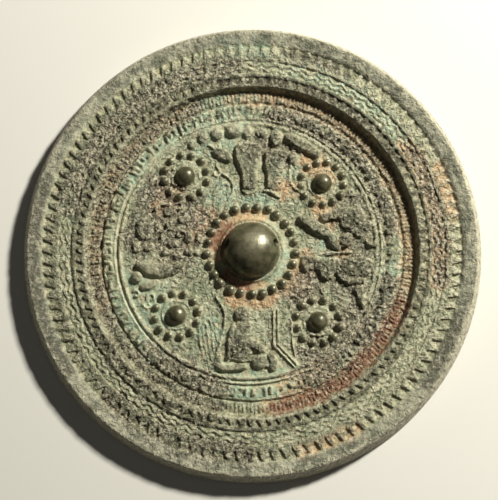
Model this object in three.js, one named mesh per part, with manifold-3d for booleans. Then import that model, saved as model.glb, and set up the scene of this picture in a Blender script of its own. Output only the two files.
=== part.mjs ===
// An ancient cast bronze mirror, lying on its polished face with the decorated back up.
// Millimetres, +Z up. The origin is the centre of the underside, and +Y is the top of the design.
import * as THREE from 'three';
import { mergeVertices } from 'three/addons/utils/BufferGeometryUtils.js';
import Module from 'manifold-3d';

const wasm = await Module();
wasm.setup();

// Disc: the polished face is a little wider than the back, so the side wall slopes
const FACE_RADIUS = 105;
const CREST_RADIUS = 101.3;
const FIELD_TOP = 3.6;
const RIM_TOP = 9;
const TURN_STEPS = 72;

// Underside: the face bulges slightly, with a flat middle that the mirror lies on
const REST_RADIUS = 70;
const FACE_LIFT = 0.9;
const EDGE_ROUND = 0.7;

// Rim, from the outside in: band that slopes up to the crest, outer tooth channel, ridge, wave channel,
// ridge, inner teeth and wall
const BAND_INNER = 95.7;
const OUTER_RIDGE = { outer: 90.8, inner: 88.6 };
const INNER_RIDGE = { outer: 82.1, inner: 80.6 };
const LEDGE = { outer: 77.4, inner: 76.3 };
const RIDGE_TOP = 7.9;
const CHANNEL_TOP = 7;
const STEP_RUN = 0.3;
const WALL_FOOT = 74.4;

// Flat bands inside the rim: comb band, lettered band and the line that frames the field
const COMB_INNER = 69;
const LETTER_TOP = 3.9;
const FRAME_LINE = { outer: 60.4, inner: 56.8 };
const FRAME_TOP = 4.3;

// Central boss: a collar, a dome and a cord hole along X that was cored a little off the middle
const COLLAR = { outer: 16.8, top: 4.4 };
const DOME_RADIUS = 13.1;
const DOME_TOP = 15.2;
const DOME_STEPS = 6;
const CORD_HOLE = { width: 4.8, height: 6, floor: 4.6, length: 40, aside: 2.4, arcSteps: 8 };

// Bead rings and the four nipples, which were set by hand and so are not quite even
const BEAD = { flatness: 0.85, sides: 6, rings: 4 };
const BOSS_BEADS = { count: 25, circle: 20.2, radius: 2.1, firstAngle: -3.5 };
const NIPPLE = { radius: 5.5, rise: 4.6, washer: 7.4, washerRise: 0.6, foot: 1, steps: 14, riseSteps: 4 };
const NIPPLE_BEADS = { circle: 10, radius: 1.9 };
const NIPPLE_PLACES = [
  { x: 32.3, y: 30, beads: 13, firstAngle: -6 },
  { x: -30.2, y: 33.6, beads: 12, firstAngle: 14 },
  { x: -34.3, y: -30.3, beads: 12, firstAngle: 10 },
  { x: 30.1, y: -33.3, beads: 12, firstAngle: 15 },
];

// Figures in relief, all with their heads towards the boss
const ROBED = { waist: 7.6, hem: 10.8, hemDepth: 8, rise: 1.9 };
const SEATED = { head: 7.2, torsoWidth: 11, torsoLength: 19, kneeWidth: 7.4, seatDepth: 4, rise: 1.9 };
const BEAST = { girth: 7.5, head: 6.6, haunch: 9.5, rise: 1.9 };
const CLOUD_ROW = { circle: 53.6, firstAngle: 60, lastAngle: 116, count: 8 };
const CLOUD = { length: 6.4, width: 5.4, rise: 1.8 };

const rad = THREE.MathUtils.degToRad;

// Closed geometry to a solid that can be joined and cut
function toSolid(geometry) {
  const bare = new THREE.BufferGeometry();
  bare.setAttribute('position', geometry.getAttribute('position'));
  bare.setIndex(geometry.getIndex());
  const merged = mergeVertices(bare, 1e-4);
  return new wasm.Manifold(new wasm.Mesh({
    numProp: 3,
    vertProperties: new Float32Array(merged.getAttribute('position').array),
    triVerts: new Uint32Array(merged.getIndex().array),
  }));
}

function toGeometry(solid) {
  const mesh = solid.getMesh();
  const geometry = new THREE.BufferGeometry();
  geometry.setAttribute('position', new THREE.BufferAttribute(mesh.vertProperties, 3));
  geometry.setIndex(new THREE.BufferAttribute(mesh.triVerts, 1));
  geometry.computeVertexNormals();
  return geometry;
}

// A profile of [radius, height] points turned about Z
function turned(profile, steps) {
  const points = profile.map(([radius, height]) => new THREE.Vector2(radius, height));
  return new THREE.LatheGeometry(points, steps).rotateX(Math.PI / 2);
}

// Points of a quarter ellipse, from its foot to its crown on the axis
function domeProfile(radius, foot, crown, steps) {
  const points = [];
  for (let i = 0; i <= steps; i += 1) {
    const angle = (i / steps) * Math.PI / 2;
    const across = i === steps ? 0 : radius * Math.cos(angle);
    points.push([across, foot + (crown - foot) * Math.sin(angle)]);
  }
  return points;
}

// A flattened round swelling, half sunk in the field, longest along its own X before it is turned
function swelling({ x, y, length, width = length, rise, turn = 0, sides = 12, rings = 6 }) {
  const ball = new THREE.SphereGeometry(1, sides, rings).rotateX(Math.PI / 2);
  ball.scale(length / 2, width / 2, rise);
  ball.rotateZ(rad(turn));
  return ball.translate(x, y, FIELD_TOP);
}

// A swelling that reaches from one place to another
function limb(from, to, width, rise) {
  const along = new THREE.Vector2(to.x - from.x, to.y - from.y);
  return swelling({
    x: (from.x + to.x) / 2,
    y: (from.y + to.y) / 2,
    length: along.length() + width,
    width,
    rise,
    turn: THREE.MathUtils.radToDeg(along.angle()),
  });
}

function discBody() {
  const profile = [
    [0, 0],
    [REST_RADIUS, 0],
    [FACE_RADIUS - EDGE_ROUND, FACE_LIFT],
    [FACE_RADIUS, FACE_LIFT + EDGE_ROUND],
    [CREST_RADIUS + EDGE_ROUND, RIM_TOP - EDGE_ROUND],
    [CREST_RADIUS, RIM_TOP],
    [BAND_INNER, RIDGE_TOP],
    [BAND_INNER - STEP_RUN, CHANNEL_TOP],
    [OUTER_RIDGE.outer + STEP_RUN, CHANNEL_TOP],
    [OUTER_RIDGE.outer, RIDGE_TOP],
    [OUTER_RIDGE.inner, RIDGE_TOP],
    [OUTER_RIDGE.inner - STEP_RUN, CHANNEL_TOP],
    [INNER_RIDGE.outer + STEP_RUN, CHANNEL_TOP],
    [INNER_RIDGE.outer, RIDGE_TOP],
    [INNER_RIDGE.inner, RIDGE_TOP],
    [INNER_RIDGE.inner - STEP_RUN, CHANNEL_TOP],
    [LEDGE.outer + STEP_RUN, CHANNEL_TOP],
    [LEDGE.outer, RIDGE_TOP],
    [LEDGE.inner, RIDGE_TOP],
    [WALL_FOOT, FIELD_TOP],
    [COMB_INNER, FIELD_TOP],
    [COMB_INNER - STEP_RUN, LETTER_TOP],
    [FRAME_LINE.outer + STEP_RUN, LETTER_TOP],
    [FRAME_LINE.outer, FRAME_TOP],
    [FRAME_LINE.inner, FRAME_TOP],
    [FRAME_LINE.inner - STEP_RUN, FIELD_TOP],
    [COLLAR.outer + STEP_RUN, FIELD_TOP],
    [COLLAR.outer, COLLAR.top],
    ...domeProfile(DOME_RADIUS, COLLAR.top, DOME_TOP, DOME_STEPS),
  ];
  return turned(profile, TURN_STEPS);
}

// Arched hole through the foot of the dome
function cordHole() {
  const half = CORD_HOLE.width / 2;
  const spring = CORD_HOLE.height - half;
  const arch = new THREE.Shape();
  arch.moveTo(-half, 0);
  arch.lineTo(half, 0);
  arch.lineTo(half, spring);
  arch.absarc(0, spring, half, 0, Math.PI, false);
  const hole = new THREE.ExtrudeGeometry(arch, {
    depth: CORD_HOLE.length,
    bevelEnabled: false,
    curveSegments: CORD_HOLE.arcSteps,
  });
  hole.translate(0, 0, -CORD_HOLE.length / 2);
  hole.rotateX(Math.PI / 2);
  hole.rotateZ(Math.PI / 2);
  return mergeVertices(hole.translate(0, CORD_HOLE.aside, CORD_HOLE.floor));
}

// One nipple: a low washer under a small dome
function nipple(x, y) {
  const washerTop = FIELD_TOP + NIPPLE.washerRise;
  const profile = [
    [0, FIELD_TOP - NIPPLE.foot],
    [NIPPLE.washer, FIELD_TOP - NIPPLE.foot],
    [NIPPLE.washer, washerTop],
    ...domeProfile(NIPPLE.radius, washerTop, FIELD_TOP + NIPPLE.rise, NIPPLE.riseSteps),
  ];
  return turned(profile, NIPPLE.steps).translate(x, y, 0);
}

function beadRing(centreX, centreY, { count, firstAngle, circle, radius }) {
  return Array.from({ length: count }, (_, i) => {
    const angle = rad(firstAngle + (i * 360) / count);
    return swelling({
      x: centreX + circle * Math.cos(angle),
      y: centreY + circle * Math.sin(angle),
      length: 2 * radius,
      rise: radius * BEAD.flatness,
      sides: BEAD.sides,
      rings: BEAD.rings,
    });
  });
}

function nippleGroup() {
  return NIPPLE_PLACES.flatMap(({ x, y, beads, firstAngle }) => [
    nipple(x, y),
    ...beadRing(x, y, { count: beads, firstAngle, ...NIPPLE_BEADS }),
  ]);
}

// A standing figure in a long robe, its feet towards the boss and its wide hem outwards
function robedFigure(feet, hem) {
  return [
    limb(feet, hem, ROBED.waist, ROBED.rise),
    swelling({ ...hem, length: ROBED.hem, width: ROBED.hemDepth, rise: ROBED.rise }),
  ];
}

// A seated figure: head towards the boss, cloaked torso, one knee out to the side, and a long low seat
function seatedFigure(head, lap, knee) {
  const seatStart = { x: lap.x - SEATED.torsoWidth, y: knee.y - SEATED.seatDepth / 2 };
  return [
    swelling({ ...head, length: SEATED.head, rise: SEATED.rise }),
    swelling({
      x: lap.x,
      y: (head.y + lap.y) / 2,
      length: SEATED.torsoLength,
      width: SEATED.torsoWidth,
      rise: SEATED.rise,
      turn: 90,
    }),
    swelling({ ...knee, length: SEATED.kneeWidth, rise: SEATED.rise }),
    limb(seatStart, { x: lap.x, y: seatStart.y }, SEATED.seatDepth, SEATED.rise),
  ];
}

// A crouching beast: a long body from its head back to a round haunch
function beast(head, haunch) {
  return [
    limb(head, haunch, BEAST.girth, BEAST.rise),
    swelling({ ...head, length: BEAST.head, rise: BEAST.rise }),
    swelling({ ...haunch, length: BEAST.haunch, rise: BEAST.rise }),
  ];
}

// Lumps of cloud in a row along the top of the field
function cloudRow() {
  const step = (CLOUD_ROW.lastAngle - CLOUD_ROW.firstAngle) / (CLOUD_ROW.count - 1);
  return Array.from({ length: CLOUD_ROW.count }, (_, i) => {
    const angle = CLOUD_ROW.firstAngle + i * step;
    return swelling({
      x: CLOUD_ROW.circle * Math.cos(rad(angle)),
      y: CLOUD_ROW.circle * Math.sin(rad(angle)),
      ...CLOUD,
      turn: angle - 90,
    });
  });
}

function figures() {
  return [
    ...robedFigure({ x: -0.7, y: 29 }, { x: -1.8, y: 43 }),
    ...robedFigure({ x: 9.6, y: 28.5 }, { x: 10.4, y: 42 }),
    ...seatedFigure({ x: -4.3, y: -29.4 }, { x: -4.9, y: -48 }, { x: 3.6, y: -50.8 }),
    ...beast({ x: -34, y: -7.8 }, { x: -47, y: -9 }),
    ...beast({ x: -29, y: 6.2 }, { x: -48, y: 10.2 }),
    ...beast({ x: 27.3, y: 12.5 }, { x: 46.6, y: 13.8 }),
    ...beast({ x: 26.5, y: -5.8 }, { x: 49, y: -8 }),
    ...cloudRow(),
  ];
}

function mirrorGeometry() {
  const raised = [
    ...beadRing(0, 0, BOSS_BEADS),
    ...nippleGroup(),
    ...figures(),
  ];
  let casting = toSolid(discBody());
  for (const geometry of raised) {
    casting = casting.add(toSolid(geometry));
  }
  return toGeometry(casting.subtract(toSolid(cordHole())));
}

const patinatedBronze = new THREE.MeshStandardMaterial({ color: '#7d8468', roughness: 0.8, metalness: 0.3 });

const mirror = new THREE.Mesh(mirrorGeometry(), patinatedBronze);
mirror.name = 'mirror';

const group = new THREE.Group();
group.add(mirror);

export default group;
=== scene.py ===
"""An ancient bronze mirror lying on a plain pale floor, seen from above its decorated back."""
import math
import random

import bpy
import numpy as np
from mathutils import Matrix, Vector


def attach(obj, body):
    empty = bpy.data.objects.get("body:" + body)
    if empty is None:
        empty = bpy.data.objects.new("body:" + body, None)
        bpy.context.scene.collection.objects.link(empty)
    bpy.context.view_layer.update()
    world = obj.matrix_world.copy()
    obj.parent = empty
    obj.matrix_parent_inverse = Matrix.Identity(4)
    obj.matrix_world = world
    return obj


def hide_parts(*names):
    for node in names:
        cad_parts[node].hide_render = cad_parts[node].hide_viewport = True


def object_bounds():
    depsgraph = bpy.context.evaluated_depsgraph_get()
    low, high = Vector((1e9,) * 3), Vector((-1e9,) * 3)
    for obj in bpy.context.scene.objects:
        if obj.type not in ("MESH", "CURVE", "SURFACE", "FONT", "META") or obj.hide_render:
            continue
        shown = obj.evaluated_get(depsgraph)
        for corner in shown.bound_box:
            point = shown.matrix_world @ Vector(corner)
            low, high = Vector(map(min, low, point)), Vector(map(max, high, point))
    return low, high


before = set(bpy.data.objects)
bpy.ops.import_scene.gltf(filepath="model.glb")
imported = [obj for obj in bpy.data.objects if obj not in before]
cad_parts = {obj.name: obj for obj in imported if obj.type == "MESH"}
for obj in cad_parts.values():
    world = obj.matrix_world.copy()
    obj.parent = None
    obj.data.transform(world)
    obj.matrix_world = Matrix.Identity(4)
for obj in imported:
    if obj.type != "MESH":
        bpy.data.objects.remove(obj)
CAD_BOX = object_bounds()

# The casting is modelled in millimetres, as a founder measures it, and scaled to metres at the end
MM = 0.001
FACE_RADIUS = (CAD_BOX[1][0] - CAD_BOX[0][0]) / 2 / MM
CROWN = CAD_BOX[1][2] / MM

# Heights of the main surfaces above the table
FIELD = 3.6
LETTER_FLOOR = 3.85
CHANNEL = 7.0
RIDGE = 7.9
RIM = 9.0

# Rings, from the rim inwards, and the flat middle of the face underneath
CREST_RADIUS = 102
BAND_INNER = 95.7
OUTER_RIDGE = {"shoulder": 88.9, "brow": 88.5, "foot": 88.3}
CHANNEL_INNER = 82.4
INNER_RIDGE = {"brow": 82.1, "outer": 81.7, "inner": 80.8, "foot": 80.4}
WALL = {"top": 76.7, "brow": 76.2, "flare": 74.8, "foot": 74.3}
GROOVE = {"outer": 69.7, "floor_outer": 69.4, "floor_inner": 68.5, "inner": 68.2, "depth": 0.8}
FIELD_STEP = {"brow": 62.6, "outer": 62.3, "inner": 57.4, "foot": 57, "depth": 0.3}
REST_RADIUS = 70
OUTER_TEETH = {"count": 112, "base": 90.9, "tip": 95.4, "width": 4.9}
INNER_TEETH = {"count": 112, "base": 77.3, "tip": 80.0, "width": 4.15}
WAVES = {"count": 85, "rings": (84.2, 86.6), "swing": 0.7, "width": 1.1, "rise": 0.75}
COMB = {"count": 252, "inner": 69.9, "outer": 74.0, "width": 0.95, "rise": 0.6}
LETTERS = {"cells": 50, "inner": 62.4, "outer": 67.4, "width": 1.6, "rise": 0.9, "x": -0.9, "y": 0.2}

# Shares of the strokes that end in a hook, and of the written band's cells that have a bar
HOOKED_TICKS = 0.45
BARRED_CELLS = 0.7

# The line that frames the field is a double one, and was set a little off the middle
FRAME_LINE = {"x": -1.7, "y": 0.4, "outer": 61.1, "outer_width": 1, "inner": 58.8, "inner_width": 1.7}

# Boss, nipples and beads: a nipple's place is x, y, its count of beads and the bearing of the first one
COLLAR = {"radius": 16.8, "rise": 0.9}
LIP = {"radius": 14.1, "width": 1.3, "middle": 4.4}
DOME = {"radius": 13.1, "foot": 4.4}
CORD_HOLE = {"width": 4.8, "height": 6.0, "floor": 4.6, "length": 40.0, "aside": 2.4}
WORN_SPOT = {"x": 1, "y": 3, "reach": 5.5}
BOSS_BEADS = {"count": 25, "circle": 20.2, "radius": 2.15, "first": -3.5}
NIPPLE = {"radius": 4.6, "rise": 4.4, "washer": 7.3, "washer_rise": 0.7, "ring": 6.5, "ring_width": 0.9}
NIPPLE_BEADS = {"circle": 10.0, "radius": 1.9}
NIPPLE_PLACES = [
    (32.6, 31.2, 13, -6), (-30.3, 34.8, 12, 14), (-34.1, -29.5, 12, 10), (30.3, -32.5, 12, 15),
]
CURLS = {"circle": 14.2, "within": 55, "bearings": (-60, -28, 28, 60, 125, -125)}

# Mesh fineness: the remesh melts all forms into one skin, and the count keeps the piece in its limit
SKIN_VOXEL = 0.37
SKIN_TRIANGLES = 197_000
TURN_STEPS = 360
RING_STEPS = 144

# How far a dome's foot reaches below its floor, as a share of its rise
BLANK_FOOT = 0.35

pick = random.Random(7)
# Centre, radius and share of polish of each dome, noted as it is made
polished_domes = []


def only(piece):
    """Selects one object alone and makes it active."""
    bpy.ops.object.select_all(action="DESELECT")
    piece.select_set(True)
    bpy.context.view_layer.objects.active = piece


def apply(piece, name, kind, **settings):
    """Adds one modifier with its settings and applies it."""
    only(piece)
    modifier = piece.modifiers.new(name, kind)
    for key, value in settings.items():
        setattr(modifier, key, value)
    bpy.ops.object.modifier_apply(modifier=name)


def settle(piece):
    """Puts an object's place, turn and size into its mesh."""
    only(piece)
    bpy.ops.object.transform_apply(location=True, rotation=True, scale=True)


def join(pieces, name):
    """Makes one object of several."""
    bpy.ops.object.select_all(action="DESELECT")
    for piece in pieces:
        piece.select_set(True)
    bpy.context.view_layer.objects.active = pieces[0]
    bpy.ops.object.join()
    pieces[0].name = name
    return pieces[0]


def polar(radius, degrees):
    angle = math.radians(degrees)
    return radius * math.cos(angle), radius * math.sin(angle)


# Disc


def disc_profile():
    """Radius and height of the turned blank, from the face's middle round to the back's middle."""
    return [
        (0, 0), (REST_RADIUS, 0),
        (FACE_RADIUS - 0.8, 0.85), (FACE_RADIUS - 0.1, 1.25), (FACE_RADIUS, 1.7),
        (CREST_RADIUS + 0.5, RIM - 0.7), (CREST_RADIUS + 0.3, RIM - 0.2), (CREST_RADIUS, RIM),
        (CREST_RADIUS - 0.4, RIM - 0.06), (BAND_INNER + 0.6, RIDGE), (BAND_INNER + 0.1, RIDGE - 0.3),
        (BAND_INNER - 0.1, CHANNEL),
        (OUTER_TEETH["base"] + 0.4, CHANNEL), (OUTER_TEETH["base"], RIDGE - 0.1),
        (OUTER_TEETH["base"] - 0.5, RIDGE), (OUTER_RIDGE["shoulder"], RIDGE),
        (OUTER_RIDGE["brow"], RIDGE - 0.15), (OUTER_RIDGE["foot"], CHANNEL),
        (CHANNEL_INNER, CHANNEL), (INNER_RIDGE["brow"], RIDGE - 0.2), (INNER_RIDGE["outer"], RIDGE),
        (INNER_RIDGE["inner"], RIDGE), (INNER_RIDGE["foot"], CHANNEL),
        (INNER_TEETH["base"] + 0.4, CHANNEL), (INNER_TEETH["base"], RIDGE - 0.1),
        (WALL["top"], RIDGE - 0.1), (WALL["brow"], RIDGE - 0.6),
        (WALL["flare"], FIELD + 0.6), (WALL["foot"], FIELD),
        (GROOVE["outer"], FIELD), (GROOVE["floor_outer"], FIELD - GROOVE["depth"]),
        (GROOVE["floor_inner"], FIELD - GROOVE["depth"]), (GROOVE["inner"], LETTER_FLOOR),
        (FIELD_STEP["brow"], LETTER_FLOOR), (FIELD_STEP["outer"], FIELD - FIELD_STEP["depth"]),
        (FIELD_STEP["inner"], FIELD - FIELD_STEP["depth"]), (FIELD_STEP["foot"], FIELD),
        (COLLAR["radius"], FIELD), (0, FIELD),
    ]


def disc():
    """The plain casting: one corner point drawn out along the profile and spun about the axis."""
    profile = disc_profile()
    bpy.ops.mesh.primitive_plane_add(size=1, location=(0, 0, 0))
    blank = bpy.context.object
    bpy.ops.object.mode_set(mode="EDIT")
    bpy.ops.mesh.select_all(action="SELECT")
    bpy.ops.mesh.merge(type="CENTER")
    for (radius, height), (next_radius, next_height) in zip(profile, profile[1:]):
        step = (next_radius - radius, 0, next_height - height)
        bpy.ops.mesh.extrude_region_move(TRANSFORM_OT_translate={"value": step})
    bpy.ops.mesh.select_all(action="SELECT")
    bpy.ops.mesh.spin(steps=TURN_STEPS, angle=math.tau, center=(0, 0, 0), axis=(0, 0, 1))
    bpy.ops.mesh.select_all(action="SELECT")
    bpy.ops.mesh.remove_doubles(threshold=0.001)
    bpy.ops.mesh.normals_make_consistent(inside=False)
    bpy.ops.object.mode_set(mode="OBJECT")
    return blank


def copies_round(piece, count):
    """Repeats a mesh about the axis, evenly, with the spin tool."""
    only(piece)
    bpy.ops.object.mode_set(mode="EDIT")
    bpy.ops.mesh.select_all(action="SELECT")
    turn = math.tau * (count - 1) / count
    bpy.ops.mesh.spin(steps=count - 1, dupli=True, angle=turn, center=(0, 0, 0), axis=(0, 0, 1))
    bpy.ops.object.mode_set(mode="OBJECT")
    return piece


def narrow(piece, facing, scale):
    """Draws in the faces of a small block that look one way, so that its sides slope."""
    only(piece)
    bpy.ops.object.mode_set(mode="EDIT")
    bpy.ops.mesh.select_all(action="DESELECT")
    bpy.ops.object.mode_set(mode="OBJECT")
    for face in piece.data.polygons:
        face.select = face.normal.dot(Vector(facing)) > 0.9
    bpy.ops.object.mode_set(mode="EDIT")
    bpy.ops.transform.resize(value=scale)
    bpy.ops.object.mode_set(mode="OBJECT")


def block(inner, outer, width, floor, top):
    """A small block at the first place of a ring, sunk a little in its floor."""
    bpy.ops.mesh.primitive_cube_add(size=1)
    made = bpy.context.object
    sunk = 0.5
    made.scale = (outer - inner, width, top - floor + sunk)
    made.location = ((inner + outer) / 2, 0, (top + floor - sunk) / 2)
    settle(made)
    return made


def tooth_ring(size):
    """A ring of raised blunt triangles with their points outwards."""
    tooth = block(size["base"] - 0.2, size["tip"], size["width"], CHANNEL, RIDGE)
    narrow(tooth, (1, 0, 0), (1, 0.3, 1))
    narrow(tooth, (0, 0, 1), (0.92, 0.82, 1))
    return copies_round(tooth, size["count"])


def comb_ring():
    """The comb band: fine radial bars between the wall's foot and the groove."""
    bar = block(COMB["inner"], COMB["outer"], COMB["width"], FIELD, FIELD + COMB["rise"])
    narrow(bar, (0, 0, 1), (0.9, 0.75, 1))
    return copies_round(bar, COMB["count"])


# Ridges: every raised line is one spline of a single curve, and its thickness is the spline's radius


class Ridges:
    """Collects raised lines and turns them into one mesh."""

    def __init__(self):
        self.curve = bpy.data.curves.new("ridges", "CURVE")
        self.curve.dimensions = "3D"
        self.curve.bevel_depth = 1
        self.curve.bevel_resolution = 2
        self.curve.resolution_u = 5
        self.curve.use_fill_caps = True

    def line(self, points, width, rise, floor=FIELD, closed=False, smooth=True, taper=0.6):
        """A raised line through points on a floor, as wide and high as asked, thinner at its ends."""
        spline = self.curve.splines.new("BEZIER")
        spline.bezier_points.add(len(points) - 1)
        spline.use_cyclic_u = closed
        radius = width / 2
        for i, (point, (x, y)) in enumerate(zip(spline.bezier_points, points)):
            is_end = not closed and i in (0, len(points) - 1)
            point.radius = radius * (taper if is_end else 1)
            point.co = (x, y, floor + rise - point.radius)
            kind = "AUTO" if smooth else "VECTOR"
            point.handle_left_type = kind
            point.handle_right_type = kind

    def curl(self, x, y, size, start, sweep, width, rise):
        """A hook or spiral that tightens as it sweeps, in degrees, about its eye."""
        steps = max(4, round(abs(sweep) / 50))
        points = []
        for i in range(steps + 1):
            share = i / steps
            dx, dy = polar(size * (1 - 0.55 * share), start + sweep * share)
            points.append((x + dx, y + dy))
        self.line(points, width, rise)

    def mesh(self):
        ridges = bpy.data.objects.new("ridges", self.curve)
        bpy.context.scene.collection.objects.link(ridges)
        only(ridges)
        bpy.ops.object.convert(target="MESH")
        return bpy.context.object


def wave_rings(ridges):
    """Two parallel zigzag ridges in the rim's channel."""
    per_wave = 2
    total = WAVES["count"] * per_wave
    for ring in WAVES["rings"]:
        points = []
        for i in range(total):
            swing = WAVES["swing"] if i % 2 else -WAVES["swing"]
            points.append(polar(ring + swing, 360 * i / total))
        ridges.line(points, WAVES["width"], WAVES["rise"], floor=CHANNEL, closed=True)


def stroke_band(ridges):
    """Rows of shallow strokes where the writing was: ticks and dashes that spell nothing."""
    step = 360 / LETTERS["cells"]
    height = LETTERS["outer"] - LETTERS["inner"]
    for cell in range(LETTERS["cells"]):
        middle = cell * step

        def at(across, up):
            x, y = polar(LETTERS["inner"] + height * up, middle + step * 0.4 * across)
            return x + LETTERS["x"], y + LETTERS["y"]

        ticks = pick.choice((2, 2, 3))
        for i in range(ticks):
            across = -0.8 + 1.6 * i / (ticks - 1) + pick.uniform(-0.15, 0.15)
            low = pick.uniform(0, 0.35)
            high = pick.uniform(0.65, 1)
            lean = pick.uniform(-0.3, 0.3)
            points = [at(across, low), at(across + lean, high)]
            if pick.random() < HOOKED_TICKS:
                points.append(at(across + lean + pick.choice((-0.45, 0.45)), high - 0.1))
            ridges.line(points, LETTERS["width"], LETTERS["rise"], floor=LETTER_FLOOR, smooth=False)
        if pick.random() < BARRED_CELLS:
            up = pick.uniform(0.2, 0.8)
            points = [at(-0.35, up), at(0.35, up + pick.uniform(-0.1, 0.1))]
            ridges.line(points, LETTERS["width"], LETTERS["rise"], floor=LETTER_FLOOR, smooth=False)


# Domes


def blank_dome(name, squareness):
    """A ball of radius 1 cut flat below its middle, its flanks drawn out towards a cylinder."""
    bpy.ops.object.select_all(action="DESELECT")
    bpy.ops.mesh.primitive_uv_sphere_add(segments=24, ring_count=12, radius=1)
    blank = bpy.context.object
    blank.name = name
    bpy.ops.object.mode_set(mode="EDIT")
    bpy.ops.mesh.select_all(action="SELECT")
    bpy.ops.mesh.bisect(plane_co=(0, 0, -BLANK_FOOT), plane_no=(0, 0, 1), use_fill=True, clear_inner=True)
    bpy.ops.object.mode_set(mode="OBJECT")
    if squareness:
        apply(blank, "flatten", "CAST", cast_type="CYLINDER", factor=squareness, use_z=False)
    return blank


def swelling(blank, x, y, length, width, rise, turn=0, floor=FIELD):
    """A copy of a blank as long, wide and high as asked, with its foot sunk in its floor."""
    mass = blank.copy()
    mass.data = blank.data.copy()
    mass.scale = (length / 2, width / 2, rise)
    mass.rotation_euler.z = math.radians(turn)
    mass.location = (x, y, floor)
    bpy.context.scene.collection.objects.link(mass)
    return mass


def limb(path, rise):
    """A rounded mass along a path of x, y and width, swelling and thinning as the widths do."""
    made = []
    for (x, y, width), (next_x, next_y, next_width) in zip(path, path[1:]):
        length = math.hypot(next_x - x, next_y - y)
        steps = max(1, round(length / (0.25 * min(width, next_width))))
        for i in range(steps + 1):
            share = i / steps
            wide = width + (next_width - width) * share
            at = x + (next_x - x) * share, y + (next_y - y) * share
            made.append(swelling(slab, *at, wide, wide, rise))
    return made


def masses(shapes):
    """Rounded masses, each given by its x, y, length, width, rise and turn."""
    return [swelling(slab, *shape) for shape in shapes]


def bead_ring(x, y, count, first, circle, radius):
    """A ring of cast beads, each a little uneven."""
    beads = []
    for i in range(count):
        dx, dy = polar(circle * pick.uniform(0.98, 1.02), first + 360 * i / count + pick.uniform(-1, 1))
        size = radius * pick.uniform(0.92, 1.1)
        polished_domes.append((x + dx, y + dy, size, 0.9))
        beads.append(swelling(ball, x + dx, y + dy, 2 * size, 2 * size, size))
    return beads


def ring_line(x, y, radius, width, middle):
    """A thin raised circle."""
    bpy.ops.mesh.primitive_torus_add(major_radius=radius, minor_radius=width / 2, major_segments=RING_STEPS,
                                     location=(x, y, middle))
    return bpy.context.object


def frame_line():
    """The double line round the field."""
    at = FRAME_LINE["x"], FRAME_LINE["y"]
    return [
        ring_line(*at, FRAME_LINE["outer"], FRAME_LINE["outer_width"], FIELD + 0.2),
        ring_line(*at, FRAME_LINE["inner"], FRAME_LINE["inner_width"], FIELD),
    ]


def boss():
    """The pierced knob: collar, lip and dome, with a cord hole along X cored a little off the middle."""
    collar = swelling(ball, 0, 0, 2 * COLLAR["radius"], 2 * COLLAR["radius"], COLLAR["rise"])
    lip = ring_line(0, 0, LIP["radius"], LIP["width"], LIP["middle"])
    across = 2 * DOME["radius"]
    dome = swelling(ball, 0, 0, across, across, CROWN - DOME["foot"], floor=DOME["foot"])
    settle(dome)
    polished_domes.append((0, 0, DOME["radius"], 1))
    bpy.ops.mesh.primitive_cylinder_add(vertices=32, radius=CORD_HOLE["width"] / 2,
                                        depth=CORD_HOLE["length"])
    drill = bpy.context.object
    drill.rotation_euler.y = math.pi / 2
    drill.scale.x = CORD_HOLE["height"] / CORD_HOLE["width"]
    drill.location = (0, CORD_HOLE["aside"], CORD_HOLE["floor"] + CORD_HOLE["height"] / 2)
    settle(drill)
    apply(dome, "cord hole", "BOOLEAN", operation="DIFFERENCE", object=drill, solver="EXACT")
    bpy.data.objects.remove(drill)
    ring = BOSS_BEADS
    beads = bead_ring(0, 0, ring["count"], ring["first"], ring["circle"], ring["radius"])
    return [collar, lip, dome] + beads


def nipples():
    """Four small domes on ringed washers, each in its own circle of beads."""
    made = []
    for x, y, count, first in NIPPLE_PLACES:
        made.append(swelling(ball, x, y, 2 * NIPPLE["radius"], 2 * NIPPLE["radius"], NIPPLE["rise"]))
        polished_domes.append((x, y, NIPPLE["radius"], 1))
        made.append(swelling(ball, x, y, 2 * NIPPLE["washer"], 2 * NIPPLE["washer"], NIPPLE["washer_rise"]))
        made.append(ring_line(x, y, NIPPLE["ring"], NIPPLE["ring_width"], FIELD + 0.3))
        made += bead_ring(x, y, count, first, NIPPLE_BEADS["circle"], NIPPLE_BEADS["radius"])
    return made


# Figures in low relief between the boss and the frame line


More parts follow.
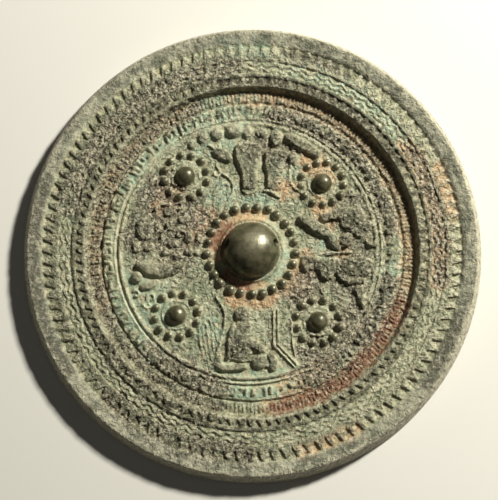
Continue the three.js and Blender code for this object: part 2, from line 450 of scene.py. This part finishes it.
def robed_pair(ridges):
    """Two standing figures in long robes at the top, the robes' wide ends outwards."""
    ridges.line([(-6.9, 48), (-6.2, 43), (-4.2, 37.9), (-3.2, 32), (-3.2, 28.8)], 2.3, 2)
    ridges.line([(-2.3, 46.6), (-1.9, 38.4), (-1.7, 31)], 0.9, 2.2)
    ridges.line([(1.8, 47.5), (1.8, 38.4), (0.9, 30.1)], 0.9, 2.1)
    ridges.line([(-7.3, 48.5), (-4.2, 49.8), (-0.1, 49.8), (4, 48.9)], 1.5, 1.2)
    ridges.line([(-4.2, 27.8), (-1.9, 26.7), (0.9, 27.4), (2.7, 28.3)], 1.5, 1.2)
    ridges.line([(7.5, 45.7), (7.2, 40.2), (8.1, 34.7), (7.7, 29.2)], 2.3, 2)
    ridges.line([(14.5, 43), (14.1, 37.5), (13.2, 31)], 1.5, 1.3)
    ridges.line([(11, 45.6), (11, 37.6), (10.4, 30.6)], 0.9, 2)
    ridges.line([(5.4, 27.8), (8.1, 27.4), (11.3, 25.6), (13.2, 24.2)], 1.4, 1.2)
    robes = limb([(-1.4, 43.8, 10.6), (-0.8, 40.1, 9.2), (-0.5, 36.5, 7.3), (-0.3, 30.6, 5.5)], 1.9)
    robes += limb([(10.8, 43.1, 8), (10.4, 39.3, 7.3), (10.4, 33.8, 5.9), (10, 30.1, 5)], 1.8)
    return robes + masses([
        (-4.6, 46.6, 5, 4.8, 1.8), (2.4, 46.8, 4.8, 4.4, 1.7), (8.1, 44.2, 4, 4.6, 2.2),
        (14.6, 44.8, 3.6, 4, 1.9),
    ])


def top_clouds(ridges):
    """Cloud lumps along the frame line, and sinuous bands between the robed pair and the nipples."""
    ridges.line([(-23.7, 48.5), (-20.6, 49.4), (-17.8, 48), (-16.9, 46.2), (-18.7, 46.2)], 1.1, 0.9)
    ridges.line([(-16.5, 39.8), (-14.2, 36.5), (-10.5, 33.8), (-8.7, 30.6), (-8.7, 26.9), (-11, 23.3)],
                1.2, 1)
    ridges.line([(-17.8, 25.6), (-15.1, 29.7), (-11.9, 31.5), (-10.5, 29.2), (-11, 26)], 1, 0.8)
    ridges.line([(-16.9, 25.1), (-14.2, 27.4), (-12.4, 28.8)], 0.9, 0.7)
    ridges.line([(18.2, 39.6), (17.4, 35.6), (18.8, 30.1), (22.9, 26.6)], 1.1, 0.9)
    lumps = limb([(17.3, 52.6, 4.4), (21.4, 50.3, 5.6), (25.9, 47.5, 5.5), (30, 44.5, 4)], 2.1)
    lumps += limb([(-15.5, 45.7, 4.2), (-13.3, 44.8, 5.5), (-10.5, 42.5, 3.2)], 2)
    return lumps + masses([
        (-7.8, 56, 8.6, 6.6, 2.3, 8), (-1.9, 55.6, 4.6, 6.6, 1.7), (-16, 54.2, 6.2, 5.4, 1.9, 15),
        (-21.9, 52, 5.9, 5.2, 1.8, 25), (11.3, 52.2, 5.4, 8.4, 1.9), (19.5, 42.5, 5, 5.9, 1.5),
        (4.5, 54.9, 5.5, 4.6, 1.4), (-27.2, 49, 4.6, 4.2, 1.4),
    ])


def seated_figure(ridges):
    """A seated figure at the bottom: head, cloak, sleeves and spread knees, on a scrolled seat."""
    ridges.line([(-8.2, -34.2), (-10, -41.1), (-10.5, -49.3)], 2.3, 1.9)
    ridges.line([(-5.6, -33.8), (-4.1, -37), (-2, -34.2)], 0.9, 1.8)
    ridges.line([(-4.1, -37), (-4.1, -45.7)], 0.9, 2)
    ridges.line([(1.4, -45.7), (4.6, -47.5), (6.8, -50.7), (7.3, -53.5)], 1.6, 1.4)
    ridges.line([(-9.1, -49.4), (-4.1, -50.4), (1.4, -49.9)], 1.2, 1.2)
    body = limb([(-3.6, -34.2, 6.8), (-4.6, -38.8, 9.1), (-4.9, -42, 10.9), (-4.9, -44.6, 11.6)], 1.8)
    body += limb([(-1.4, -42, 3.2), (1.8, -43.4, 4.1), (5, -45.7, 3.2)], 2.2)
    body += limb([(8.7, -48.4, 3.2), (10, -51.2, 4.1), (9.6, -53.5, 3.2)], 1.9)
    body += limb([
        (-15, -48.9, 3.2), (-15.3, -52, 3.6), (-12.8, -53.6, 3.6), (-8.2, -53.4, 3.6), (-3.6, -53.2, 2.7),
    ], 1.8)
    return body + masses([
        (-4.3, -29.4, 7.8, 6.6, 2.1), (-4.3, -27.2, 5, 3, 1.8), (3.6, -50.8, 7.6, 7, 2.1),
    ])


def screen(ridges):
    """The folded, hatched screen beside the seated figure, and the post and hatching on its other side."""
    ridges.line([(10, -27.3), (10, -43.4), (20, -53.9)], 1, 1, smooth=False)
    ridges.line([(11.9, -26.9), (11.9, -42.9), (21.4, -53)], 1, 1, smooth=False)
    ridges.line([(17.8, -31), (18.7, -43.4), (20.5, -53.4)], 1, 1, smooth=False)
    ridges.line([(13.4, -44.8), (17, -41.4)], 0.8, 0.7, smooth=False)
    for i in range(8):
        low = -32.5 - 1.6 * i
        ridges.line([(13, low - 1.6), (17.4, low + 1.8)], 0.6, 0.5, smooth=False)
    ridges.line([(-16.4, -20.9), (-12.3, -28.3), (-12.3, -34.2), (-14.6, -43.4), (-17.8, -53.9)], 1.2, 1)
    for i in range(5):
        x = -24.2 + 1.9 * i
        ridges.line([(x, -33), (x + 0.8, -41), (x + 2.6, -50 - 0.6 * i)], 0.75, 0.6)


def left_beast(ridges):
    """The left beast, mostly eaten away: a crescent belly over curls, and broken limbs above it."""
    ridges.line([(-45.4, -5.6), (-42.4, -6.8), (-39.6, -6.2)], 1.8, 1.5)
    ridges.line([(-44.6, 18.9), (-41.9, 21.2), (-38.3, 21.4), (-35.5, 20.3)], 1.3, 1.1)
    ridges.line([(-41.7, 5.6), (-39.2, 9.8)], 1.5, 1.3)
    for i in range(4):
        x = -40.8 + 1.3 * i
        ridges.line([(x, -17), (x + 0.7, -14.8)], 0.75, 0.6, smooth=False)
    for i in range(5):
        x = -27.5 + 1.8 * i
        ridges.line([(x, -13.4 - i), (x + 2.6, -9.4 - i)], 0.75, 0.6, smooth=False)
    ridges.curl(-52.8, -20, 1.9, 150, -300, 1, 0.9)
    ridges.curl(-45.8, -21.8, 2.2, 200, -300, 1, 0.9)
    ridges.curl(-32.3, 7.5, 1.9, 0, 340, 0.9, 1.1)
    belly = limb([
        (-51.5, -6.7, 2.7), (-46.9, -8.8, 5.5), (-41.9, -9.5, 6.6), (-36.9, -8.6, 5.5), (-32.3, -7, 2.7),
    ], 2.3)
    belly += limb([(-49.2, -16.8, 3.2), (-46.5, -15.9, 4.1), (-43.7, -14.5, 2.7)], 1.6)
    return belly + masses([
        (-52.4, -12.2, 5, 5.5, 1.9), (-49.2, 10.2, 7.8, 10.5, 1.4), (-37.8, 18, 5.8, 4, 1.4, 10),
        (-42.8, 10.2, 4.1, 4.1, 1.1), (-37.8, 11.4, 3.8, 4.4, 1.2), (-29, 6.2, 4.4, 4.8, 1.3),
        (-24, 5.6, 3.8, 4.4, 1.1), (-36, 3.3, 6, 3.4, 1.5, 8), (-28.7, -0.8, 4.4, 3.6, 1.2),
        (-39.2, -0.8, 4, 3.6, 1.3), (-33.7, -2.4, 4, 3.6, 1.2), (-24.4, -0.8, 4.6, 3, 1.1),
        (-46.6, 1.6, 5, 4, 1.1, 30), (-31, 14.6, 5, 4, 1.1, 40), (-52.5, 1.5, 4, 5, 1.1),
    ])


def right_beasts(ridges):
    """Two beasts on the right, one above the other, their outlines blurred by crust."""
    ridges.line([(37.4, 7.9), (39.6, 4.3), (41.9, 1.5)], 1.2, 1.1)
    ridges.line([(51.9, 4.7), (53.6, 2.6), (55.6, 2.4), (57, 4.7)], 2.1, 1.8)
    ridges.line([(28.7, -2.4), (33.3, -1.7), (39.6, -1.2), (46, -1)], 1.4, 1.2)
    ridges.line([(39.6, -5.4), (43.3, -4.4), (46.9, -4.9)], 1.1, 2)
    ridges.line([(41.5, -8.1), (45.6, -6), (49.7, -5.8)], 1.1, 2.2)
    ridges.line([(43.3, -10.5), (47.8, -9), (52.4, -8.6)], 1.1, 2.2)
    for i in range(6):
        x = 16.5 + 1.7 * i
        ridges.line([(x, -22.4 + i), (x + 3, -18.4 + i)], 0.75, 0.6, smooth=False)
    beasts = limb([(23.2, 14.3, 4.1), (27.3, 12.5, 5.9), (31.4, 9.3, 5.5), (33.3, 7.9, 4.1)], 2.4)
    beasts += limb([(34.2, 9.8, 2.7), (36.9, 4.3, 3.4), (39.6, 0.6, 2.7)], 2)
    beasts += limb([(33.3, 14.8, 4.1), (38.7, 16.6, 4.4), (43.7, 16.6, 6.4)], 1.8)
    beasts += limb([(29.6, -5.4, 5), (33.3, -7.6, 7.8), (34.6, -10.6, 6.4)], 2)
    beasts += limb([(38.7, -7.2, 7.3), (44.2, -7.9, 9.4), (49.7, -8.2, 9.4), (52.4, -7.4, 7.4)], 1.9)
    beasts += limb([(40.5, -12.2, 3.2), (45.1, -14.3, 3.6), (49.7, -14.1, 3.2)], 1.8)
    beasts += limb([(48.7, -18.2, 4.6), (50.1, -22.3, 3.6), (50.8, -26.4, 1.8)], 1.6)
    return beasts + masses([
        (46.6, 13.8, 12.4, 11.6, 2.1), (43.3, 4.7, 5.9, 6.8, 2.3), (49.7, 7.5, 4.6, 4.1, 1.6),
        (52.6, 11.1, 4.6, 5.5, 1.4), (25.5, -5.8, 6.4, 7.8, 2),
    ])


def small_curls(ridges):
    """Little hooks that fill the corners round the nipples."""
    for x, y, _, _ in NIPPLE_PLACES:
        outwards = math.degrees(math.atan2(y, x))
        for side in CURLS["bearings"]:
            dx, dy = polar(CURLS["circle"], outwards + side)
            if math.hypot(x + dx, y + dy) < CURLS["within"]:
                sweep = pick.choice((-1, 1)) * pick.uniform(220, 300)
                ridges.curl(x + dx, y + dy, pick.uniform(1.6, 2.2), outwards + side, sweep, 0.95, 0.8)


def casting():
    """Every form of the mirror, melted into one skin."""
    ridges = Ridges()
    wave_rings(ridges)
    stroke_band(ridges)
    parts = [disc(), tooth_ring(OUTER_TEETH), tooth_ring(INNER_TEETH), comb_ring()]
    parts += boss() + nipples() + frame_line()
    screen(ridges)
    small_curls(ridges)
    for figure in (robed_pair, top_clouds, seated_figure, left_beast, right_beasts):
        parts += figure(ridges)
    parts.append(ridges.mesh())
    skin = join(parts, "mirror_casting")
    settle(skin)
    apply(skin, "melt", "REMESH", mode="VOXEL", voxel_size=SKIN_VOXEL)
    return skin


# Weathering


def ripple(x, y, size, seed):
    """A smooth, repeatable random surface between about -1 and 1, with bumps of a size in millimetres."""
    waves = np.random.default_rng(seed)
    total = np.zeros_like(x)
    count = 10
    for _ in range(count):
        angle = waves.uniform(0, math.tau)
        length = size * waves.uniform(1.2, 3.2)
        phase = waves.uniform(0, math.tau)
        total += np.sin((x * math.cos(angle) + y * math.sin(angle)) * math.tau / length + phase)
    return total / math.sqrt(count) / 1.2


# Places on the back, each an arc: its radius, its first and last bearing, and how far it spreads
CRUST = [
    (71.8, 112, 257, 3.6), (64.5, 227, 257, 5), (64.5, 292, 345, 5), (58, 303, 325, 9),
    (64.5, 10, 80, 4.5), (50, 148, 172, 9), (36, 150, 185, 8), (48, 10, 24, 7), (46, 344, 356, 8),
    (85.5, 96, 165, 4.5), (27, 148, 168, 5), (93, 228, 268, 5), (79, 212, 254, 3.5), (48, 70, 88, 5),
    (30, 318, 340, 6), (86, 350, 32, 3), (46, 258, 262, 4),
]
WORN = [
    (85.5, 96, 168, 5), (64.5, 292, 95, 5.5), (64.5, 228, 256, 5), (93, 84, 104, 4), (93, 228, 268, 4),
    (79, 212, 254, 3), (58.5, 55, 125, 3), (58.5, 150, 172, 3), (71.8, 112, 257, 3), (79, 98, 118, 3),
    (85.5, 8, 30, 3), (58.5, 225, 248, 3),
]
SMOOTH = [
    (64.5, 128, 225, 4), (64.5, 258, 292, 4), (55.5, 256, 290, 3), (56, 95, 102, 4), (41, 88, 94, 4),
    (43, 186, 198, 5), (52, 196, 216, 7), (15, 0, 360, 3), (98, 0, 360, 3),
]
VERDIGRIS = [
    (65.5, 96, 150, 5), (72, 91, 108, 3), (23.5, 70, 108, 3), (15.6, 296, 356, 2.6), (42, 64, 70, 5),
    (35, 356, 4, 4), (56, 254, 289, 3), (64, 260, 284, 5), (64, 340, 352, 5), (85.5, 38, 76, 4),
    (53, 198, 216, 8), (64.5, 200, 225, 4), (54, 98, 118, 5), (30, 112, 122, 4), (40, 240, 250, 4),
    (95, 88, 96, 5),
]
RUST = [
    (71.6, 344, 96, 3.4), (71.6, 276, 344, 3.4), (71.6, 115, 200, 2.6), (16, 78, 188, 3),
    (16.4, 252, 290, 2), (23.6, 248, 294, 3), (27, 146, 166, 5), (46, 144, 153, 5), (38, 22, 32, 4),
    (41, 356, 3, 3), (25, 316, 346, 5), (85, 350, 34, 4), (93.5, 284, 300, 3), (63, 284, 302, 4),
    (48, 46, 58, 5), (93, 10, 24, 3), (33, 60, 66, 4),
]
OXIDE = [(71.8, 279, 340, 3), (16, 135, 172, 2.6), (16.4, 225, 262, 2.2)]
# Dark grime; its first arc, along the rim band's inner step on the upper right, is a painted shadow of that
# step
GRIME_AND_SHADE = [
    (96.1, 350, 72, 0.7), (99, 160, 214, 2), (98, 322, 342, 2.5), (93, 62, 80, 2), (79, 30, 100, 1.6),
]


def near(x, y, arcs):
    """How near each point is to the arcs of a list, from 0 far off to 1 on one, with a ragged edge."""
    radius = np.hypot(x, y)
    bearing = np.degrees(np.arctan2(y, x))
    share = np.full_like(x, -1.0)
    for middle, first, last, reach in arcs:
        half = (last - first) % 360 / 2 if last - first < 360 else 180
        off = (bearing - first - half + 180) % 360 - 180
        aside = np.radians(np.maximum(np.abs(off) - half, 0)) * radius
        share = np.maximum(share, 1.5 - np.hypot(radius - middle, aside) / reach)
    ragged = 0.3 * ripple(x, y, 5, 3) + 0.25 * ripple(x, y, 2, 4)
    return np.clip((share + ragged) * 1.5, 0, 1)


def polish(x, y):
    """Where domes and beads are rubbed smooth and dark, from 0 to 1."""
    share = np.zeros_like(x)
    for dome_x, dome_y, reach, most in polished_domes:
        inside = reach - np.hypot(x - dome_x, y - dome_y)
        share = np.maximum(share, most * np.clip(inside / 0.6, 0, 1))
    return share


def corners(piece):
    """The mesh's points as rows of x, y and z."""
    places = np.empty(len(piece.data.vertices) * 3, np.float32)
    piece.data.vertices.foreach_get("co", places)
    return places.reshape(-1, 3).astype(float)


def weight(piece, name, values):
    """A vertex group with a weight for each point, in steps of a twentieth."""
    group = piece.vertex_groups.new(name=name)
    steps = np.rint(np.clip(values, 0, 1) * 20).astype(int)
    for step in range(1, 21):
        group.add(np.flatnonzero(steps == step).tolist(), step / 20, "REPLACE")


def grain(name, kind, size):
    """A noise texture whose bumps have a given size in millimetres."""
    texture = bpy.data.textures.new(name, kind)
    texture.noise_scale = size
    return texture


def above(z, start, run):
    """From 0 at a height to 1 at a run above it."""
    return np.clip((z - start) / run, 0, 1)


# The back is rougher within this radius, at the foot of the wall
ROUGHER_WITHIN = 74.5


def weather(skin):
    """Centuries in the ground: worn patches, a wavy skin, a grainy crust and pits."""
    x, y, z = corners(skin).T
    back = above(z, 2.2, 1.2)
    bare = 1 - 0.92 * polish(x, y)
    inside = np.hypot(x, y) < ROUGHER_WITHIN
    rough = np.where(inside, 0.44, 0.32) + 0.65 * near(x, y, CRUST) - 0.3 * near(x, y, SMOOTH)
    weight(skin, "worn", back * (0.12 + 0.88 * near(x, y, WORN)) * bare)
    weight(skin, "back", back * bare)
    weight(skin, "rough", back * bare * np.clip(rough, 0.08, 1))
    apply(skin, "wear", "SMOOTH", factor=0.5, iterations=14, vertex_group="worn")
    common = {"direction": "NORMAL", "mid_level": 0.5, "texture_coords": "LOCAL"}
    apply(skin, "waviness", "DISPLACE", texture=grain("waviness", "CLOUDS", 5), strength=0.5,
          vertex_group="back", **common)
    apply(skin, "lumps", "DISPLACE", texture=grain("lumps", "CLOUDS", 2.6), strength=1.2,
          vertex_group="rough", **common)
    apply(skin, "grains", "DISPLACE", texture=grain("grains", "CLOUDS", 1.2), strength=1.1,
          vertex_group="rough", **common)
    apply(skin, "pits", "DISPLACE", texture=grain("pits", "VORONOI", 2), strength=-0.6,
          vertex_group="rough", **common)
    skin.vertex_groups.clear()


def thin(skin):
    """Brings the piece under its count of triangles, keeping them where the relief is."""
    triangles = sum(len(face.vertices) - 2 for face in skin.data.polygons)
    apply(skin, "thin", "DECIMATE", ratio=SKIN_TRIANGLES / triangles)


def soften(grid, sigma):
    """A Gaussian blur of a square grid, with sigma in cells."""
    wave = np.fft.fftfreq(grid.shape[0])
    fall = np.exp(-2 * (math.pi * sigma * wave) ** 2)
    return np.fft.ifft2(np.fft.fft2(grid) * fall[:, None] * fall[None, :]).real


def relief_above(x, y, z, reach):
    """How far each point stands above the mean level within a reach, in millimetres."""
    cell = 0.5
    half = FACE_RADIUS + 8
    size = int(2 * half / cell)
    column = ((x + half) / cell).astype(int)
    row = ((y + half) / cell).astype(int)
    heights = np.zeros((size, size))
    counts = np.zeros((size, size))
    upper = z > 2.5
    np.add.at(heights, (row[upper], column[upper]), z[upper])
    np.add.at(counts, (row[upper], column[upper]), 1)
    level = soften(heights, reach / cell) / np.maximum(soften(counts, reach / cell), 1e-4)
    return z - level[row, column]


# Relief in each ring: inner radius, floor level, height of what stands on it, and how dark its tops and
# its floor are
RELIEF_RINGS = [
    (0, FIELD, 2, 0.75, 0),
    (56, FIELD, 1, 0.5, 0),
    (61.5, LETTER_FLOOR, 0.8, 0.95, 0),
    (68.7, FIELD, 0.9, 0.5, 0.25),
    (74.2, FIELD, 4, 0.5, 0.2),
    (77, CHANNEL, 0.9, 0.85, 0.7),
    (CHANNEL_INNER, CHANNEL, 0.8, 0.35, 0),
    (OUTER_RIDGE["foot"], CHANNEL, 0.9, 0.85, 0.3),
    (BAND_INNER, CHANNEL, 1.6, 0.3, 0.3),
]
# The rim's dark rubbing is painted lighter on the side facing the light, about this bearing, and darker
# away from it: painted light and shade
LIT_SIDE_BEARING = 20


def rubbed_and_shade_share(x, y, z):
    """How darkly each point is rubbed, by how far up the relief of its own ring it stands; on the rim it is
    painted shade as well, lighter towards the lit bearing and darker away from it.
    """
    radius = np.hypot(x, y)
    share = np.zeros_like(x)
    for start, level, height, top, bottom in RELIEF_RINGS:
        up = np.clip(((z - level) / height - 0.35) / 0.5, 0, 1)
        share = np.where(radius >= start, bottom + (top - bottom) * up, share)
    lit_side = 0.65 + 0.35 * np.cos(np.arctan2(y, x) - math.radians(LIT_SIDE_BEARING))
    # On the rim, painted shade: the darkening fades on the lit side and stays strong away from it
    return np.where(radius > CHANNEL_INNER, share * (1 - 0.75 * lit_side), share)


def note(piece, name, values):
    """Stores one number for each point, for the material to read."""
    attribute = piece.data.attributes.new(name, "FLOAT", "POINT")
    attribute.data.foreach_set("value", values.astype(np.float32))


def mark(skin):
    """Notes for the patina and for painted highlight and shade: what is worn, where each mineral lies on
    the back, and where shade is painted on the rim. The face stays plain.
    """
    x, y, z = corners(skin).T
    radius = np.hypot(x, y)
    back = above(z, 1.5, 0.5)
    from_spot = np.hypot(x - WORN_SPOT["x"], y - WORN_SPOT["y"])
    note(skin, "crest", relief_above(x, y, z, 0.9) * back)
    note(skin, "rubbed_and_shade", rubbed_and_shade_share(x, y, z) * back)
    note(skin, "polished", polish(x, y) * back)
    note(skin, "spot", np.clip(1.3 - from_spot / WORN_SPOT["reach"], 0, 1))
    note(skin, "edge", np.clip((radius - CREST_RADIUS) / 0.6, 0, 1))
    note(skin, "band", np.clip((radius - BAND_INNER) / 0.8, 0, 1) * back)
    note(skin, "smooth", np.maximum(near(x, y, SMOOTH), 1 - back))
    minerals_and_shade = {"crust": CRUST, "verdigris": VERDIGRIS, "rust": RUST, "oxide": OXIDE, "grime_and_shade": GRIME_AND_SHADE}
    for name, arcs in minerals_and_shade.items():
        note(skin, name, near(x, y, arcs) * back)


# Materials


def linear(code):
    """An sRGB hex colour as linear red, green, blue and alpha."""
    parts = [int(code[i:i + 2], 16) / 255 for i in (1, 3, 5)]
    return [v / 12.92 if v <= 0.04045 else ((v + 0.055) / 1.055) ** 2.4 for v in parts] + [1]


def add(tree, kind, settings, *links, **values):
    """Adds one node, sets its properties and values, and links or sets its inputs, hex codes as colours."""
    made = tree.nodes.new(kind)
    for key, value in settings.items():
        setattr(made, key, value)
    for key, value in values.items():
        made.inputs[key.replace("_", " ")].default_value = value
    for target, source in links:
        if isinstance(source, bpy.types.NodeSocket):
            tree.links.new(source, made.inputs[target])
        else:
            made.inputs[target].default_value = linear(source) if isinstance(source, str) else source
    return made


def per(size):
    """A texture scale for a pattern whose features have a size in millimetres."""
    return 1 / (size * MM)


# Noises that break up the patina: feature size in millimetres, detail and roughness
PATINA_NOISES = {
    "broad": (9, 3, 0.6), "middle": (4, 5, 0.6), "fine": (1.7, 3, 0.6), "speck": (0.8, 3, 0.7),
    "flake": (2.6, 3, 0.55),
}
CRUST_GRAIN = 1.2
BUMP_DEPTH = 2.6
PATINA_NOTES = (
    "crest", "rubbed_and_shade", "polished", "spot", "edge", "band", "smooth",
    "crust", "verdigris", "rust", "oxide", "grime_and_shade",
)


def coat(tree, under, over, share, span=None, within=None):
    """Lays one colour over another as thickly as a share says, or by how far the share lies along a span
    of low, high, thickness at low and thickness at high, and only within a place if one is given."""
    if span:
        low, high, at_low, at_high = span
        share = add(tree, "ShaderNodeMapRange", {"interpolation_type": "SMOOTHSTEP"}, ("Value", share),
                    From_Min=low, From_Max=high, To_Min=at_low, To_Max=at_high).outputs["Result"]
    if within is not None:
        share = add(tree, "ShaderNodeMath", {"operation": "MULTIPLY"}, (0, within), (1, share)).outputs[0]
    return add(tree, "ShaderNodeMix", {"data_type": "RGBA"}, (0, share), (6, under), (7, over)).outputs[2]


# Cast bronze that lay buried: a dull green and tan mineral skin, dark bare metal where hands have worn it,
# and painted highlight and shade on its relief
def patinated_bronze():
    material = bpy.data.materials.new("patinated_bronze")
    material.use_nodes = True
    tree = material.node_tree
    tree.nodes.clear()
    place = add(tree, "ShaderNodeTexCoord", {}).outputs["Object"]
    noise = {}
    for name, (size, detail, rough) in PATINA_NOISES.items():
        made = add(tree, "ShaderNodeTexNoise", {}, ("Vector", place),
                   Scale=per(size), Detail=detail, Roughness=rough)
        noise[name] = made.outputs["Fac"]
    noted = {}
    for name in PATINA_NOTES:
        noted[name] = add(tree, "ShaderNodeAttribute", {"attribute_name": name}).outputs["Fac"]
    broad, middle, fine, speck = (noise[name] for name in ("broad", "middle", "fine", "speck"))
    grains = add(tree, "ShaderNodeTexVoronoi", {}, ("Vector", place), Scale=per(CRUST_GRAIN))

    # Green and tan minerals, soil and verdigris
    surface = coat(tree, "#828a6e", "#a6aa8e", broad, (0.4, 0.6, 0, 1))
    surface = coat(tree, surface, "#b39c74", middle, (0.53, 0.66, 0, 0.55))
    surface = coat(tree, surface, "#c29b72", middle, (0.36, 0.54, 0.4, 0.9), noted["rust"])
    surface = coat(tree, surface, "#95b8a2", middle, (0.6, 0.42, 0.1, 0.5), noted["verdigris"])

    # Brown and cream crust, with dark between its grains
    rough_crust = coat(tree, "#5a4a45", "#c9bba5", speck, (0.42, 0.58, 0, 1))
    rough_crust = coat(tree, rough_crust, "#2a2218", grains.outputs["Distance"], (0.42, 0.62, 0, 0.9))
    surface = coat(tree, surface, rough_crust, broad, (0.36, 0.56, 0.35, 0.8), noted["crust"])

    # Painted highlight on crests, dark rubbed metal that is partly painted shade on the rim, soil left in
    # the hollows and red oxide
    # Crests are painted pale: a painted highlight along every raised edge
    surface = coat(tree, surface, "#d6cfb1", noted["crest"], (0.06, 0.28, 0, 0.65))
    metal = coat(tree, "#45452f", "#6a6a52", middle, (0.42, 0.6, 0, 1))
    # Dark rubbed metal on raised tops: wear, and on the rim also painted shade, darker on the side away
    # from the light
    surface = coat(tree, surface, metal, noted["rubbed_and_shade"])
    surface = coat(tree, surface, "#a99f7d", noted["crest"], (-0.1, -0.35, 0, 0.35))
    surface = coat(tree, surface, "#7d5138", middle, (0.36, 0.54, 0.55, 0.9), noted["oxide"])

    # Grey sheen on the rim band, grime with a painted shadow along the band's inner step, and the pale edge
    sheen = coat(tree, "#4b4a3f", "#94917f", broad, (0.38, 0.6, 0, 1))
    surface = coat(tree, surface, sheen, 0.7, within=noted["band"])
    # Grime, partly a painted shadow along the rim band's inner step on the upper right
    surface = coat(tree, surface, "#3a3626", broad, (0.36, 0.5, 0.3, 0.75), noted["grime_and_shade"])
    surface = coat(tree, surface, "#b9b39c", noted["edge"])

    # Mottling and specks, stronger on crust and weaker where the skin is smooth
    uneven = add(tree, "ShaderNodeMath", {"operation": "MULTIPLY_ADD"},
                 (0, noted["crust"]), (1, 0.3), (2, 0.75)).outputs[0]
    uneven = add(tree, "ShaderNodeMath", {"operation": "MULTIPLY_ADD"},
                 (0, noted["smooth"]), (1, -0.35), (2, uneven)).outputs[0]
    surface = coat(tree, surface, "#5b5843", middle, (0.44, 0.32, 0, 0.4))
    surface = coat(tree, surface, "#bdb9a1", middle, (0.54, 0.68, 0, 0.4))
    surface = coat(tree, surface, "#dcd8be", fine, (0.52, 0.64, 0, 0.5), uneven)
    surface = coat(tree, surface, "#332b1b", fine, (0.47, 0.36, 0, 0.65), uneven)
    surface = coat(tree, surface, "#2c2416", speck, (0.45, 0.34, 0, 0.5), uneven)

    # Bare metal on the domes and beads, with a worn spot on the boss
    bare = coat(tree, "#444230", "#66634d", middle, (0.36, 0.64, 0, 1))
    bare = coat(tree, bare, "#8d8872", fine, (0.35, 0.6, 0.35, 0.9), noted["spot"])
    surface = coat(tree, surface, bare, noted["polished"])

    # Grain that is too fine for the mesh, and how gloss, metal and grain change where it is polished
    flakes = add(tree, "ShaderNodeMapRange", {"interpolation_type": "SMOOTHSTEP"},
                 ("Value", noise["flake"]), From_Min=0.46, From_Max=0.55).outputs["Result"]
    height = 0
    for source, share in ((speck, 0.45), (fine, 0.45), (flakes, 0.4)):
        height = add(tree, "ShaderNodeMath", {"operation": "MULTIPLY_ADD"},
                     (0, source), (1, share), (2, height)).outputs[0]
    finish = {}
    for name, crusted, polished in (("roughness", 0.6, 0.34), ("metal", 0, 0.3), ("grain", 1, 0.1)):
        made = add(tree, "ShaderNodeMapRange", {"interpolation_type": "SMOOTHSTEP"},
                   ("Value", noted["polished"]), To_Min=crusted, To_Max=polished)
        finish[name] = made.outputs["Result"]
    depth = add(tree, "ShaderNodeMath", {"operation": "MULTIPLY"}, (0, finish["grain"]), (1, uneven))
    bump = add(tree, "ShaderNodeBump", {}, ("Height", height), ("Strength", depth.outputs[0]),
               Distance=BUMP_DEPTH * MM)
    shader = add(tree, "ShaderNodeBsdfPrincipled", {}, ("Base Color", surface),
                 ("Roughness", finish["roughness"]), ("Metallic", finish["metal"]),
                 ("Normal", bump.outputs["Normal"]))
    add(tree, "ShaderNodeOutputMaterial", {}, ("Surface", shader.outputs["BSDF"]))
    return material


# Matt pale paper, so that nothing but the mirror has a colour
def studio_paper():
    material = bpy.data.materials.new("studio_paper")
    material.use_nodes = True
    shader = material.node_tree.nodes["Principled BSDF"]
    shader.inputs["Base Color"].default_value = linear("#d8d6d0")
    shader.inputs["Roughness"].default_value = 0.9
    return material


# Scene

FLOOR_SIZE = 6


def floor():
    bpy.ops.object.select_all(action="DESELECT")
    bpy.ops.mesh.primitive_plane_add(size=FLOOR_SIZE, location=(0, 0, 0))
    sheet = bpy.context.object
    sheet.name = "floor"
    sheet.data.materials.append(studio_paper())


def light(name, azimuth, elevation, distance, size, power, colour):
    """A soft square lamp aimed at the mirror from a bearing and a height above the floor."""
    lamp = bpy.data.lights.new(name, "AREA")
    lamp.size = size
    lamp.energy = power
    lamp.color = linear(colour)[:3]
    holder = bpy.data.objects.new(name, lamp)
    across, along = polar(math.cos(math.radians(elevation)), azimuth)
    towards = Vector((across, along, math.sin(math.radians(elevation))))
    holder.location = towards * distance
    holder.rotation_euler = towards.to_track_quat("Z", "Y").to_euler()
    bpy.context.scene.collection.objects.link(holder)


def lights():
    light("key", 42, 36, 1.1, 0.12, 25, "#fffcf0")
    light("fill", 200, 45, 1.4, 1.2, 0.5, "#eef3ff")
    world = bpy.data.worlds.new("studio")
    world.use_nodes = True
    world.node_tree.nodes["Background"].inputs["Color"].default_value = linear("#d6d0bc")
    world.node_tree.nodes["Background"].inputs["Strength"].default_value = 0.055
    bpy.context.scene.world = world
    bpy.context.scene.view_settings.view_transform = "Standard"


# Camera: nearly square on, from a little below the middle, as the photograph looks at the standing disc
CAMERA_LEAN = Vector((0.024, -0.141, 1.0))
CAMERA_DISTANCE = 0.629
CAMERA_AIM = Vector((-0.00113, -0.00024, CHANNEL * MM))
CAMERA_LENS = 99.9
SENSOR_WIDTH = 36


def camera():
    lens = bpy.data.cameras.new("camera")
    lens.sensor_fit = "HORIZONTAL"
    lens.sensor_width = SENSOR_WIDTH
    lens.lens = CAMERA_LENS
    holder = bpy.data.objects.new("camera", lens)
    towards = CAMERA_LEAN.normalized()
    right = Vector((0, 1, 0)).cross(towards).normalized()
    holder.location = CAMERA_AIM + towards * CAMERA_DISTANCE
    holder.rotation_euler = Matrix((right, towards.cross(right), towards)).transposed().to_euler()
    bpy.context.scene.collection.objects.link(holder)
    bpy.context.scene.camera = holder


camera()
lights()
floor()
ball = blank_dome("ball", 0)
slab = blank_dome("slab", 0.45)
mirror = casting()
for blank in (ball, slab):
    bpy.data.objects.remove(blank)
weather(mirror)
thin(mirror)
mark(mirror)
mirror.scale = (MM, MM, MM)
settle(mirror)
bpy.ops.object.shade_smooth()
mirror.data.materials.clear()
mirror.data.materials.append(patinated_bronze())
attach(mirror, "root")
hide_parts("mirror")
